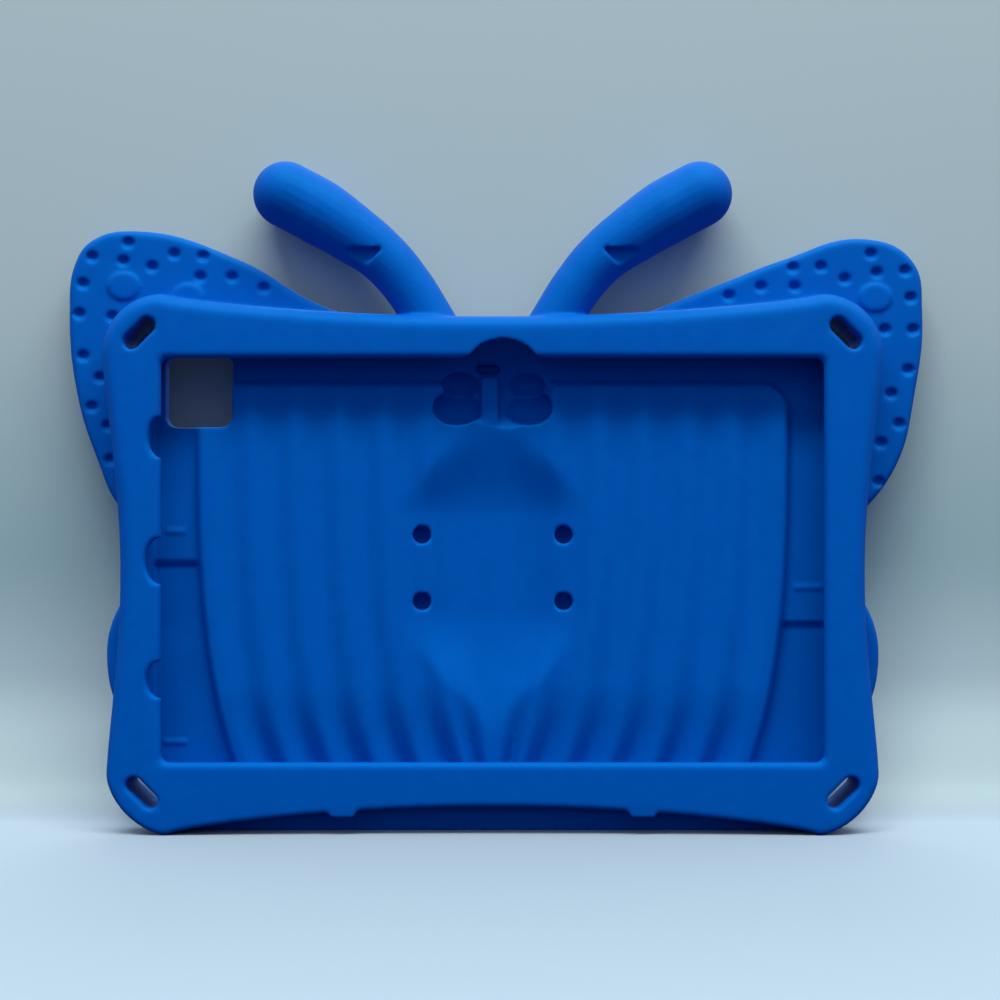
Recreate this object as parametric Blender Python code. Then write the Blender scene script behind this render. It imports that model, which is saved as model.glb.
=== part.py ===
# Butterfly tablet case for children, moulded in one piece of soft foam.
# Metres, +Z up, screen side towards -Y. The case stands on its lower edge.
import math

import bpy
import bmesh
import numpy as np
from mathutils import Matrix, Vector

# Depths along Y, measured from the front face of the lip
case_depth = 0.026
lip_thickness = 0.003
pocket_depth = 0.0098
channel_drop = 0.002
tray_depth = 0.0215
wing_front = 0.016
wing_thickness = 0.0075

# Screen opening and the pocket behind it
opening_width = 0.230
opening_height = 0.1415
opening_bottom = 0.0243
opening_corner = 0.003
lip_overhang = 0.006
pocket_corner = 0.009

# Outline of the bumper: corner circles, set by the opening's corners, joined by edges that sag inwards
corner_radius = 0.0201
top_corner_out = 0.0005
top_corner_up = 0.0018
bottom_corner_in = 0.0013
side_sag = 0.0055
top_sag = 0.0078
bottom_sag = 0.0098
side_sharpness = 1.3
front_rounding = 0.004
back_rounding = 0.002
loft_depth = 0.011

# Two small feet under the front of the lower edge
foot_x = 0.0523
foot_half_base = 0.0078
foot_half_flat = 0.0042
foot_low = 0.0066
foot_top = 0.0125
foot_depth = 0.010

# Lanyard slots through the corners, placed from the corner circles' centres
slot_length = 0.0135
slot_width = 0.0057
top_slot_shift = (0.0073, 0.0070)
bottom_slot_shift = (0.0091, -0.0034)

# Scallops in the left edge of the lip, each over a port in the side wall: height over the opening's
# lower edge, length, reach
scallops = ((0.1129, 0.0108, 0.004), (0.0711, 0.016, 0.0055), (0.0297, 0.0115, 0.0048))
port_width = 0.006

# Camera window through the floor, in the pocket's upper left corner
camera_side_gap = 0.003
camera_top_gap = 0.0038
camera_size = 0.0256
camera_corner = 0.004

# Four round holes in the floor, their heights over the opening's lower edge
hole_x = 0.0252
hole_upper = 0.0799
hole_lower = 0.0562
hole_radius = 0.0032
hole_depth = 0.0072

# Raised pad on the floor with soft upright ribs, between a channel at each side and one along the top
side_channel = 0.016
top_channel = 0.0138
pad_corner = 0.010
pad_edge = 0.003
pad_narrowing = 0.0145
narrowing_power = 3.5
rib_first = 0.0225
rib_margin = 0.0045
rib_count = 6
rib_height = 0.0013
ledge_left = 0.0707
ledge_right = 0.0489
ledge_drop = 0.0015

# Kite-shaped hollow behind the body, its heights over the opening's lower edge
kite_neck = 0.1217
kite_neck_half = 0.0095
kite_upper = 0.0872
kite_lower = 0.0517
kite_half_width = 0.0340
kite_tip = 0.0087
kite_depth = 0.0026
kite_edge = 0.009

# Head hollow: a round scoop, two eye bowls and two deep root hollows, below the opening's upper edge
scoop_drop = 0.0073
scoop_depth_centre = 0.008
scoop_radii = (0.0205, 0.0115, 0.0185)
bowl_x = 0.0128
bowl_drop = 0.0166
bowl_sink = 0.002
bowl_radii = (0.0094, 0.0065, 0.0062)
root_hollow_x = 0.0108
root_hollow_drop = 0.0086
root_hollow_sink = 0.003
root_hollow_radii = (0.0060, 0.0065, 0.0042)
nose_half_width = 0.0032
nose_sink = 0.0005
nose_depth = 0.010
nose_drop = 0.0053
nose_height = 0.0169

# Butterfly body and head on the back, placed from the opening's lower and upper edge
body_rise = 0.0742
body_radii = (0.0175, 0.0085, 0.0560)
head_drop = 0.0118
head_radii = (0.0265, 0.0100, 0.0235)

# Right half of the wings, from the head round to the body: the heights of the two ends on the
# middle line, then smooth points, all placed from the near corner circle's centre
upper_wing_ends = (-0.0036, -0.0716)
upper_wing = (
    (-0.0855, 0.0059), (-0.0531, 0.0186), (-0.0192, 0.0346), (0.0165, 0.0435), (0.0325, 0.0382),
    (0.0382, 0.0168), (0.0347, -0.0153), (0.0282, -0.0367), (0.0183, -0.0535), (0.0025, -0.0666),
    (-0.0255, -0.0716),
)
lower_wing_ends = (0.0819, 0.0219)
lower_wing = (
    (-0.0237, 0.0779), (0.0063, 0.0729), (0.0193, 0.0599), (0.0243, 0.0373), (0.0163, 0.0159),
    (-0.0037, 0.0009), (-0.0317, -0.0061), (-0.0637, -0.0011),
)
wing_rounding = 0.0022
lower_wing_set_back = 0.0006

# Dimples in the front of the upper wings, and the raised discs between them, placed the same way
dimples = (
    (0.0145, 0.0389), (0.0060, 0.0319), (-0.0045, 0.0299), (-0.0145, 0.0269), (-0.0275, 0.0234),
    (0.0275, 0.0344), (0.0180, 0.0324), (0.0310, 0.0259), (0.0230, 0.0144), (0.0335, 0.0134),
    (0.0325, -0.0011), (0.0265, -0.0086), (0.0290, -0.0191), (0.0235, -0.0276), (0.0210, -0.0381),
)
dimple_radius = 0.0022
dimple_depth = 0.0009
discs = ((0.0190, 0.0249), (-0.0040, 0.0209))
disc_radius = 0.0055
disc_height = 0.0007

# Left antenna from its club to its root: place from the middle of the opening's upper edge, and
# radius; the right one mirrors it
antenna_route = (
    (-0.0734, 0.0593, 0.0118), (-0.0613, 0.0528, 0.0115), (-0.0500, 0.0454, 0.0106),
    (-0.0398, 0.0378, 0.0095), (-0.0313, 0.0284, 0.0090), (-0.0242, 0.0176, 0.0089),
    (-0.0180, 0.0062, 0.0090), (-0.0130, -0.0058, 0.0086),
)
antenna_cap_angles = (80, 62, 42, 22)
antenna_centre_y = 0.0141

# How finely round things are cut
corner_steps = 6
side_steps = 10
edge_steps = 12
kite_rows = 11
rib_columns = 4
pad_rows = 20
tube_sides = 12

# Places that follow from the sizes above
front_y = -0.5 * case_depth
lip_back_y = front_y + lip_thickness
pad_y = lip_back_y + pocket_depth
channel_y = pad_y + channel_drop
tray_back_y = front_y + tray_depth
wing_front_y = front_y + wing_front
pocket_width = opening_width + 2 * lip_overhang
pocket_height = opening_height + 2 * lip_overhang
pocket_bottom = opening_bottom - lip_overhang
pocket_top = pocket_bottom + pocket_height
opening_top = opening_bottom + opening_height
top_corner_x = 0.5 * opening_width + top_corner_out
top_corner_z = opening_top + top_corner_up
bottom_corner_x = 0.5 * opening_width - bottom_corner_in
bottom_corner_z = corner_radius
pad_half_width = 0.5 * pocket_width - side_channel
pad_top = pocket_top - top_channel
rib_pitch = (pad_half_width - rib_margin - rib_first) / (rib_count - 1)
beyond = 0.004
overlap = 0.0005


def clear_scene():
    for thing in list(bpy.data.objects):
        bpy.data.objects.remove(thing, do_unlink=True)


def add_collection(name):
    collection = bpy.data.collections.new(name)
    bpy.context.scene.collection.children.link(collection)
    return collection


def add_object(name, mesh, collection):
    thing = bpy.data.objects.new(name, mesh)
    collection.objects.link(thing)
    return thing


def mesh_from_bmesh(name, bm):
    mesh = bpy.data.meshes.new(name)
    bm.to_mesh(mesh)
    bm.free()
    return mesh


def curve_to_solid(name, curve, turn, tools):
    # A curve made a closed mesh with its caps welded, turned into its place
    curve_object = add_object(name + "_curve", curve, tools)
    curve_object.matrix_world = turn
    bpy.context.view_layer.update()
    evaluated = curve_object.evaluated_get(bpy.context.evaluated_depsgraph_get())
    mesh = bpy.data.meshes.new_from_object(evaluated)
    bm = bmesh.new()
    bm.from_mesh(mesh)
    bmesh.ops.remove_doubles(bm, verts=bm.verts, dist=0.00001)
    bmesh.ops.transform(bm, matrix=turn, verts=bm.verts)
    bmesh.ops.recalc_face_normals(bm, faces=bm.faces)
    bm.to_mesh(mesh)
    bm.free()
    bpy.data.objects.remove(curve_object, do_unlink=True)
    return add_object(name, mesh, tools)


def upright(y):
    # Stands a flat outline drawn in X and Y up in X and Z, at the given depth
    return Matrix.Translation((0, y, 0)) @ Matrix.Rotation(math.radians(90), 4, "X")


def plate(name, points, y_low, y_high, tools, rounding=0.0, smooth_resolution=0):
    # A flat outline given thickness between two depths, with its edges rounded if asked
    curve = bpy.data.curves.new(name, "CURVE")
    curve.dimensions = "2D"
    curve.fill_mode = "BOTH"
    curve.extrude = 0.5 * (y_high - y_low) - rounding
    curve.bevel_depth = rounding
    curve.bevel_resolution = 1
    curve.offset = -rounding
    if smooth_resolution:
        curve.resolution_u = smooth_resolution
        spline = curve.splines.new("BEZIER")
        spline.bezier_points.add(len(points) - 1)
        for point, (x, z) in zip(spline.bezier_points, points):
            point.co = (x, z, 0)
            point.handle_left_type = "AUTO"
            point.handle_right_type = "AUTO"
    else:
        spline = curve.splines.new("POLY")
        spline.points.add(len(points) - 1)
        for point, (x, z) in zip(spline.points, points):
            point.co = (x, z, 0, 1)
    spline.use_cyclic_u = True
    return curve_to_solid(name, curve, upright(0.5 * (y_low + y_high)), tools)


def ellipsoid(name, centre, radii, tools, segments=24, rings=14):
    bm = bmesh.new()
    size = Matrix.LocRotScale(Vector(centre), None, Vector(radii))
    bmesh.ops.create_uvsphere(bm, u_segments=segments, v_segments=rings, radius=1.0, matrix=size)
    return add_object(name, mesh_from_bmesh(name, bm), tools)


def round_pin(name, x, z, radius, y_low, y_high, tools, sides=16):
    bm = bmesh.new()
    place = Matrix.Translation((x, 0.5 * (y_low + y_high), z)) @ Matrix.Rotation(math.radians(90), 4, "X")
    bmesh.ops.create_cone(
        bm, cap_ends=True, segments=sides, radius1=radius, radius2=radius, depth=y_high - y_low, matrix=place
    )
    return add_object(name, mesh_from_bmesh(name, bm), tools)


def rounded_rectangle(left, right, bottom, top, radius, steps=4):
    points = []
    corners = ((right, top, 0), (left, top, 90), (left, bottom, 180), (right, bottom, 270))
    for x, z, start in corners:
        centre_x = x - math.copysign(radius, x - 0.5 * (left + right))
        centre_z = z - math.copysign(radius, z - 0.5 * (bottom + top))
        for step in range(steps + 1):
            angle = math.radians(start + 90 * step / steps)
            points.append((centre_x + radius * math.cos(angle), centre_z + radius * math.sin(angle)))
    return points


def stadium(length, width, steps=6):
    # A slot outline along X about the origin
    reach = 0.5 * (length - width)
    points = []
    for side, start in ((1, -90), (-1, 90)):
        for step in range(steps + 1):
            angle = math.radians(start + 180 * step / steps)
            x = side * reach + 0.5 * width * math.cos(angle)
            points.append((x, 0.5 * width * math.sin(angle)))
    return points


def bumper_outline(low_sag):
    # Right half from the top middle down to the bottom middle, then its mirror image
    top_z = top_corner_z + corner_radius
    half = []
    for step in range(edge_steps):
        x = top_corner_x * step / edge_steps
        half.append((x, top_z - top_sag * math.cos(0.5 * math.pi * x / top_corner_x)))
    for step in range(corner_steps):
        angle = math.radians(90 - 90 * step / corner_steps)
        x = top_corner_x + corner_radius * math.cos(angle)
        half.append((x, top_corner_z + corner_radius * math.sin(angle)))
    for step in range(side_steps):
        share = step / side_steps
        x = top_corner_x + (bottom_corner_x - top_corner_x) * share + corner_radius
        z = top_corner_z + (bottom_corner_z - top_corner_z) * share
        half.append((x - side_sag * math.sin(math.pi * share) ** side_sharpness, z))
    for step in range(corner_steps):
        angle = math.radians(-90 * step / corner_steps)
        x = bottom_corner_x + corner_radius * math.cos(angle)
        half.append((x, bottom_corner_z + corner_radius * math.sin(angle)))
    for step in range(edge_steps + 1):
        x = bottom_corner_x * (1 - step / edge_steps)
        half.append((x, low_sag * math.cos(0.5 * math.pi * x / bottom_corner_x)))
    return half + [(-x, z) for x, z in reversed(half[1:-1])]


def inset(points, distance):
    # Each point moved inwards, square to the line between its neighbours
    moved = []
    for index, (x, z) in enumerate(points):
        before = points[index - 1]
        after = points[(index + 1) % len(points)]
        along = Vector((after[0] - before[0], after[1] - before[1])).normalized()
        moved.append((x + along.y * distance, z - along.x * distance))
    return moved


def bumper_rings():
    # The front edge sags more than the back one, so the lower wall slopes between them
    front = bumper_outline(bottom_sag)
    back = bumper_outline(0.0)
    rings = []
    for degrees in (0, 30, 60, 90):
        angle = math.radians(degrees)
        y = front_y + front_rounding * (1 - math.sin(angle))
        rings.append((inset(front, front_rounding * (1 - math.cos(angle))), y))
    rings.reverse()
    rings.append((back, front_y + loft_depth))
    for degrees in (0, 45, 90):
        angle = math.radians(degrees)
        y = tray_back_y - back_rounding * (1 - math.sin(angle))
        rings.append((inset(back, back_rounding * (1 - math.cos(angle))), y))
    return rings


def loft(name, rings, tools):
    # Closed skin over a row of outlines with equal numbers of points, each at its own depth
    bm = bmesh.new()
    loops = [[bm.verts.new((x, y, z)) for x, z in points] for points, y in rings]
    for near, far in zip(loops, loops[1:]):
        for index in range(len(near)):
            following = (index + 1) % len(near)
            bm.faces.new((near[index], near[following], far[following], far[index]))
    bm.faces.new(loops[0])
    bm.faces.new(loops[-1])
    bmesh.ops.recalc_face_normals(bm, faces=bm.faces)
    return add_object(name, mesh_from_bmesh(name, bm), tools)


def feet(tools):
    made = []
    for side in (-1, 1):
        points = [
            (side * foot_x - foot_half_base, foot_top), (side * foot_x - foot_half_flat, foot_low),
            (side * foot_x + foot_half_flat, foot_low), (side * foot_x + foot_half_base, foot_top),
        ]
        y_low = front_y + 0.25 * front_rounding
        made.append(plate("foot", points, y_low, y_low + foot_depth, tools))
    return made


def wing_outline(points, ends, corner_x, corner_z):
    # The right half from the middle line out and back to it, then its mirror image
    half = [(corner_x + x, corner_z + z) for x, z in points]
    start, end = ends
    return [(0, corner_z + start)] + half + [(0, corner_z + end)] + [(-x, z) for x, z in reversed(half)]


def wings(tools):
    back_y = wing_front_y + wing_thickness
    upper = wing_outline(upper_wing, upper_wing_ends, top_corner_x, top_corner_z)
    lower = wing_outline(lower_wing, lower_wing_ends, bottom_corner_x, bottom_corner_z)
    set_back = lower_wing_set_back
    return [
        plate("upper_wings", upper, wing_front_y, back_y, tools, wing_rounding, 3),
        plate("lower_wings", lower, wing_front_y + set_back, back_y - set_back, tools, wing_rounding, 3),
    ]


def wing_discs(tools):
    made = []
    low = wing_front_y - disc_height
    for x, z in discs:
        for side in (-1, 1):
            disc_x = side * (top_corner_x + x)
            made.append(round_pin("disc", disc_x, top_corner_z + z, disc_radius, low, wing_front_y + beyond, tools))
    return made


def wing_dimples(tools):
    # Shallow cups: a ball set forward so that only its back bites into the wing
    made = []
    ball = 0.5 * (dimple_radius ** 2 / dimple_depth + dimple_depth)
    y = wing_front_y + dimple_depth - ball
    for x, z in dimples:
        for side in (-1, 1):
            made.append(round_cup("dimple", (side * (top_corner_x + x), y, top_corner_z + z), ball, tools))
    return made


def round_cup(name, centre, radius, tools):
    # A ball whose pole points back, so that few faces make a round cup
    bm = bmesh.new()
    place = Matrix.Translation(centre) @ Matrix.Rotation(math.radians(90), 4, "X")
    bmesh.ops.create_uvsphere(bm, u_segments=8, v_segments=8, radius=radius, matrix=place)
    return add_object(name, mesh_from_bmesh(name, bm), tools)


def antenna(side, tools):
    curve = bpy.data.curves.new("antenna", "CURVE")
    curve.dimensions = "3D"
    curve.bevel_depth = 1.0
    curve.bevel_resolution = (tube_sides - 4) // 2
    curve.use_fill_caps = True
    curve.resolution_u = 2
    tip_x, tip_z, tip_radius = antenna_route[0]
    next_x, next_z, _ = antenna_route[1]
    outward = Vector((tip_x - next_x, tip_z - next_z)).normalized()
    spline = curve.splines.new("POLY")
    route = []
    for degrees in antenna_cap_angles:
        angle = math.radians(degrees)
        reach = tip_radius * math.sin(angle)
        route.append((tip_x + outward.x * reach, tip_z + outward.y * reach, tip_radius * math.cos(angle)))
    route.extend(antenna_route)
    spline.points.add(len(route) - 1)
    for point, (x, z, radius) in zip(spline.points, route):
        point.co = (-side * x, front_y + antenna_centre_y, opening_top + z, 1)
        point.radius = radius
    return curve_to_solid("antenna", curve, Matrix.Identity(4), tools)


def smooth_step(value):
    value = min(1.0, max(0.0, value))
    return value * value * (3 - 2 * value)


def narrowing(z):
    # How far the pad and its ribs have curved inwards at a height
    share = min(1.0, max(0.0, (pad_top - z) / (pad_top - pocket_bottom)))
    return pad_narrowing * share ** narrowing_power


def column_x(u, z):
    # A rib's place across the floor, from its place at the top of the pad
    size = abs(u)
    half_pocket = 0.5 * pocket_width
    if size <= pad_half_width:
        pull = min(1.0, size / rib_first)
    else:
        pull = (half_pocket - size) / (half_pocket - pad_half_width)
    return u - math.copysign(narrowing(z) * pull, u)


def pad_share(u, z):
    # 1 on the pad, 0 in the channels round it, with the pad's upper corners rounded
    over_x = max(0.0, abs(u) - (pad_half_width - pad_corner))
    over_z = max(0.0, z - (pad_top - pad_corner))
    inside = pad_corner - math.hypot(over_x, over_z)
    return smooth_step(0.5 + inside / pad_edge)


def rib_lift(u):
    size = abs(u)
    first_valley = rib_first - 0.5 * rib_pitch
    last_crest = rib_first + (rib_count - 1) * rib_pitch
    if size < first_valley:
        return 0.0
    if size > last_crest:
        return rib_height
    return 0.5 * rib_height * (1 + math.cos(2 * math.pi * (size - rib_first) / rib_pitch))


def floor_y(u, z):
    pad = pad_share(u, z)
    ledge_z = opening_bottom + (ledge_left if u < 0 else ledge_right)
    y = channel_y + (pad_y - channel_y - rib_lift(u)) * pad
    return y + ledge_drop * (1 - pad) * smooth_step((ledge_z - z) / pad_edge)


def floor_columns():
    # Columns follow the ribs, with a few more down the pad's sides and into the channels
    first_valley = rib_first - 0.5 * rib_pitch
    last_crest = rib_first + (rib_count - 1) * rib_pitch
    count = int(round((last_crest - first_valley) / rib_pitch * rib_columns))
    ribs = list(np.linspace(first_valley, last_crest, count + 1))
    middle = [0.0]
    edge = [pad_half_width - 0.5 * pad_edge, pad_half_width, pad_half_width + 0.5 * pad_edge]
    half = middle + ribs + edge + [0.5 * pocket_width + beyond]
    return [-value for value in reversed(half[1:])] + half


def floor_rows():
    low = list(np.linspace(pocket_bottom - beyond, pad_top - pad_corner, pad_rows))
    top = list(np.linspace(pad_top - pad_corner, pad_top + pad_edge, 5)[1:])
    return low + top + [pocket_top + beyond]


def pocket(tools):
    # Tool for the pocket: its far side carries the relief of the floor
    columns = floor_columns()
    rows = floor_rows()
    bm = bmesh.new()
    bmesh.ops.create_grid(bm, x_segments=len(columns) - 1, y_segments=len(rows) - 1, size=0.5)
    for vert in bm.verts:
        u = columns[int(round((vert.co.x + 0.5) * (len(columns) - 1)))]
        z = rows[int(round((vert.co.y + 0.5) * (len(rows) - 1)))]
        vert.co = (column_x(u, z), floor_y(u, z), z)
    sheet = list(bm.faces)
    grown = bmesh.ops.extrude_face_region(bm, geom=sheet, use_keep_orig=True)
    for vert in [item for item in grown["geom"] if isinstance(item, bmesh.types.BMVert)]:
        vert.co.y = lip_back_y
    bmesh.ops.recalc_face_normals(bm, faces=bm.faces)
    bmesh.ops.triangulate(bm, faces=bm.faces)
    relief = add_object("pocket", mesh_from_bmesh("pocket", bm), tools)
    half = 0.5 * pocket_width
    walls = rounded_rectangle(-half, half, pocket_bottom, pocket_top, pocket_corner)
    bounds = plate("pocket_walls", walls, lip_back_y - beyond, tray_back_y, tools)
    add_boolean(relief, bounds, "INTERSECT")
    return relief


def kite_outline():
    # Up the left side from the lower tip, across the neck and down the right side
    heights = (kite_tip, kite_lower, kite_upper, kite_neck)
    halves = (0.0, kite_half_width, kite_half_width, kite_neck_half)
    rows = np.linspace(kite_tip, kite_neck, kite_rows)
    left = [(-float(np.interp(rise, heights, halves)), opening_bottom + float(rise)) for rise in rows]
    return left + [(-x, z) for x, z in reversed(left[1:])]


def kite_hollow(tools):
    # A dished hollow whose sides slope from above the ribs down to its flat middle
    outline = kite_outline()
    rings = [
        (inset(outline, -0.6 * kite_edge), pad_y - 2 * rib_height),
        (outline, pad_y + 0.5 * kite_depth),
        (inset(outline, 0.5 * kite_edge), pad_y + kite_depth),
    ]
    return [loft("kite_hollow", rings, tools)]


def screen_opening(tools):
    half = 0.5 * opening_width
    points = rounded_rectangle(-half, half, opening_bottom, opening_top, opening_corner)
    return [plate("screen_opening", points, front_y - beyond, lip_back_y + overlap, tools)]


def side_scallops(tools):
    made = []
    left_edge = -0.5 * opening_width
    for rise, length, reach in scallops:
        stretch = 2 * reach / length
        z = opening_bottom + rise
        outline = [(left_edge + x * stretch, z + y) for x, y in circle_points(0.5 * length, 14)]
        made.append(plate("scallop", outline, front_y - beyond, lip_back_y + overlap, tools))
    return made


def circle_points(radius, steps):
    angles = [2 * math.pi * step / steps for step in range(steps)]
    return [(radius * math.cos(angle), radius * math.sin(angle)) for angle in angles]


def side_ports(tools):
    # Slots through the left wall, level with the scallops and the pocket's middle
    made = []
    wall_x = -0.5 * pocket_width
    y = lip_back_y + 0.5 * pocket_depth
    for rise, length, _ in scallops:
        curve_points = stadium(length, port_width)
        curve = bpy.data.curves.new("port", "CURVE")
        curve.dimensions = "2D"
        curve.fill_mode = "BOTH"
        curve.extrude = corner_radius
        spline = curve.splines.new("POLY")
        spline.points.add(len(curve_points) - 1)
        for point, (along, across) in zip(spline.points, curve_points):
            point.co = (along, across, 0, 1)
        spline.use_cyclic_u = True
        place = Matrix.Translation((wall_x - 0.5 * corner_radius, y, opening_bottom + rise))
        turn = place @ Matrix.Rotation(math.radians(90), 4, "Y")
        made.append(curve_to_solid("port", curve, turn, tools))
    return made


def corner_slots(tools):
    made = []
    top = (top_corner_x + top_slot_shift[0], top_corner_z + top_slot_shift[1], -45)
    bottom = (bottom_corner_x + bottom_slot_shift[0], bottom_corner_z + bottom_slot_shift[1], 45)
    for x, z, lean in (top, bottom):
        for side in (-1, 1):
            spin = Matrix.Rotation(math.radians(side * lean), 2)
            points = []
            for point in stadium(slot_length, slot_width):
                turned = spin @ Vector(point)
                points.append((side * x + turned.x, z + turned.y))
            made.append(plate("slot", points, front_y - beyond, tray_back_y + case_depth, tools))
    return made


def camera_window(tools):
    left = -0.5 * pocket_width + camera_side_gap
    top = pocket_top - camera_top_gap
    points = rounded_rectangle(left, left + camera_size, top - camera_size, top, camera_corner)
    return [plate("camera_window", points, pad_y - beyond, 0.5 * case_depth + beyond, tools)]


def floor_holes(tools):
    made = []
    for x in (-hole_x, hole_x):
        for rise in (hole_upper, hole_lower):
            made.append(round_pin("hole", x, opening_bottom + rise, hole_radius, lip_back_y, pad_y + hole_depth, tools))
    return made


def head_hollows(tools):
    scoop = (0, front_y + scoop_depth_centre, opening_top - scoop_drop)
    made = [ellipsoid("scoop", scoop, scoop_radii, tools, 22, 12)]
    for side in (-1, 1):
        bowl = (side * bowl_x, pad_y + bowl_sink, opening_top - bowl_drop)
        made.append(ellipsoid("bowl", bowl, bowl_radii, tools, 14, 10))
        root = (side * root_hollow_x, pad_y + root_hollow_sink, opening_top - root_hollow_drop)
        made.append(ellipsoid("root_hollow", root, root_hollow_radii, tools, 12, 8))
    return made


def nose_rib(tools):
    # A soft upright rib left standing between the eye bowls
    centre_y = pad_y + nose_sink + 0.5 * nose_depth
    centre_z = opening_top - nose_drop - 0.5 * nose_height
    radii = (nose_half_width, 0.5 * nose_depth, 0.5 * nose_height)
    return [ellipsoid("nose_rib", (0, centre_y, centre_z), radii, tools, 13, 9)]


def back_body(tools):
    back_y = 0.5 * case_depth
    body = (0, back_y - body_radii[1], opening_bottom + body_rise)
    head = (0, back_y - head_radii[1], opening_top - head_drop)
    return [ellipsoid("body", body, body_radii, tools, 22, 14), ellipsoid("head", head, head_radii, tools, 26, 13)]


def add_boolean(thing, tool, operation):
    modifier = thing.modifiers.new(tool.name, "BOOLEAN")
    modifier.operation = operation
    modifier.solver = "EXACT"
    modifier.object = tool


def foam_material():
    material = bpy.data.materials.new("blue_foam")
    material.use_nodes = True
    shader = material.node_tree.nodes["Principled BSDF"]
    shader.inputs["Base Color"].default_value = (0.0, 0.115, 0.52, 1)
    shader.inputs["Roughness"].default_value = 0.62
    shader.inputs["Metallic"].default_value = 0.0
    material.diffuse_color = (0.0, 0.115, 0.52, 1)
    return material


def hide_tools(tools):
    for tool in tools.objects:
        tool.hide_render = True
        tool.display_type = "WIRE"


def build():
    clear_scene()
    parts = add_collection("kids_tablet_case")
    tools = add_collection("shaping_tools")
    case = loft("bumper", bumper_rings(), tools)
    case.name = "foam_case"
    tools.objects.unlink(case)
    parts.objects.link(case)
    added = feet(tools) + wings(tools) + back_body(tools) + [antenna(-1, tools), antenna(1, tools)]
    added += wing_discs(tools)
    for tool in added:
        add_boolean(case, tool, "UNION")
    add_boolean(case, pocket(tools), "DIFFERENCE")
    removed = kite_hollow(tools) + head_hollows(tools)
    for tool in removed:
        add_boolean(case, tool, "DIFFERENCE")
    for tool in nose_rib(tools):
        add_boolean(case, tool, "UNION")
    removed = screen_opening(tools) + side_scallops(tools) + side_ports(tools) + corner_slots(tools)
    removed += camera_window(tools) + floor_holes(tools) + wing_dimples(tools)
    for tool in removed:
        add_boolean(case, tool, "DIFFERENCE")
    hide_tools(tools)
    case.data.materials.append(foam_material())


build()
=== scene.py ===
import math

import bpy
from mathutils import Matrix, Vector


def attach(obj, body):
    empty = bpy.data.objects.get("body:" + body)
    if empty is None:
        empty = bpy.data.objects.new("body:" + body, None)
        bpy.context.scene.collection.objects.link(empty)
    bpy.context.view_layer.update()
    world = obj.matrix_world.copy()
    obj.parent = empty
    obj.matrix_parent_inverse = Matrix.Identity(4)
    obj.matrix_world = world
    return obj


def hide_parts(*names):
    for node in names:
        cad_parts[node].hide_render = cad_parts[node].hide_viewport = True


# Butterfly tablet case in blue moulded foam, standing on its lower edge.
# Everything is in metres. The screen side looks towards -Y.

hair = 0.0001  # how near a point counts as lying on a plane
facing = 0.9  # how far a face has to point along an axis to count as facing it

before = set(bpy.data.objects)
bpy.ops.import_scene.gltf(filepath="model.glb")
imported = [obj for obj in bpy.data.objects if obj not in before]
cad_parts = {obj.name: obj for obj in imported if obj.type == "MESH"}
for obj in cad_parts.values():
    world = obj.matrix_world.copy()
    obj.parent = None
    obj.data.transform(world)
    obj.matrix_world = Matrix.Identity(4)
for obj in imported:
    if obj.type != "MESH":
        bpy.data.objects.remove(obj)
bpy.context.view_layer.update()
print("frame loaded")


# Small helpers

def deselectAll():
    active = bpy.context.view_layer.objects.active
    if active and active.mode != "OBJECT":
        bpy.ops.object.mode_set(mode="OBJECT")
    bpy.ops.object.select_all(action="DESELECT")


def makeActive(piece):
    deselectAll()
    piece.select_set(True)
    bpy.context.view_layer.objects.active = piece


def settle(piece):
    # Puts the object's place into its mesh, so the object itself sits at the origin
    makeActive(piece)
    bpy.ops.object.transform_apply(location=True, rotation=True, scale=True)
    return piece


def named(name):
    piece = bpy.context.object
    piece.name = name
    piece.data.name = name
    return piece


def editWith(piece, kind, test):
    # Opens edit mode with only those verts, edges or faces picked that pass the test
    makeActive(piece)
    bpy.ops.object.mode_set(mode="EDIT")
    bpy.ops.mesh.select_mode(type=kind)
    bpy.ops.mesh.select_all(action="DESELECT")
    bpy.ops.object.mode_set(mode="OBJECT")
    mesh = piece.data
    if kind == "VERT":
        for vert in mesh.vertices:
            vert.select = test(vert.co)
    elif kind == "EDGE":
        for edge in mesh.edges:
            start, end = (mesh.vertices[index].co for index in edge.vertices)
            edge.select = test(start, end)
    else:
        for face in mesh.polygons:
            face.select = test(face.center, face.normal)
    bpy.ops.object.mode_set(mode="EDIT")


def leaveEdit():
    bpy.ops.object.mode_set(mode="OBJECT")


def squareUp(piece, weld=0.00001):
    # Welds the seams and turns every face outwards
    editWith(piece, "FACE", lambda centre, normal: True)
    bpy.ops.mesh.remove_doubles(threshold=weld)
    bpy.ops.mesh.normals_make_consistent(inside=False)
    leaveEdit()
    return piece


def useModifier(piece, kind, **settings):
    makeActive(piece)
    modifier = piece.modifiers.new(kind.title(), kind)
    for key, value in settings.items():
        setattr(modifier, key, value)
    bpy.ops.object.modifier_apply(modifier=modifier.name)


def combine(piece, tool, operation):
    useModifier(piece, "BOOLEAN", object=tool, operation=operation, solver="MANIFOLD")
    bpy.data.objects.remove(tool, do_unlink=True)


def joined(pieces):
    deselectAll()
    for piece in pieces:
        piece.select_set(True)
    bpy.context.view_layer.objects.active = pieces[0]
    bpy.ops.object.join()
    return pieces[0]


def copied(piece, name):
    makeActive(piece)
    bpy.ops.object.duplicate(linked=False)
    return named(name)


def smoothStep(value):
    # Runs from 0 to 1 with level ends
    value = min(1.0, max(0.0, value))
    return value * value * (3 - 2 * value)


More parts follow.
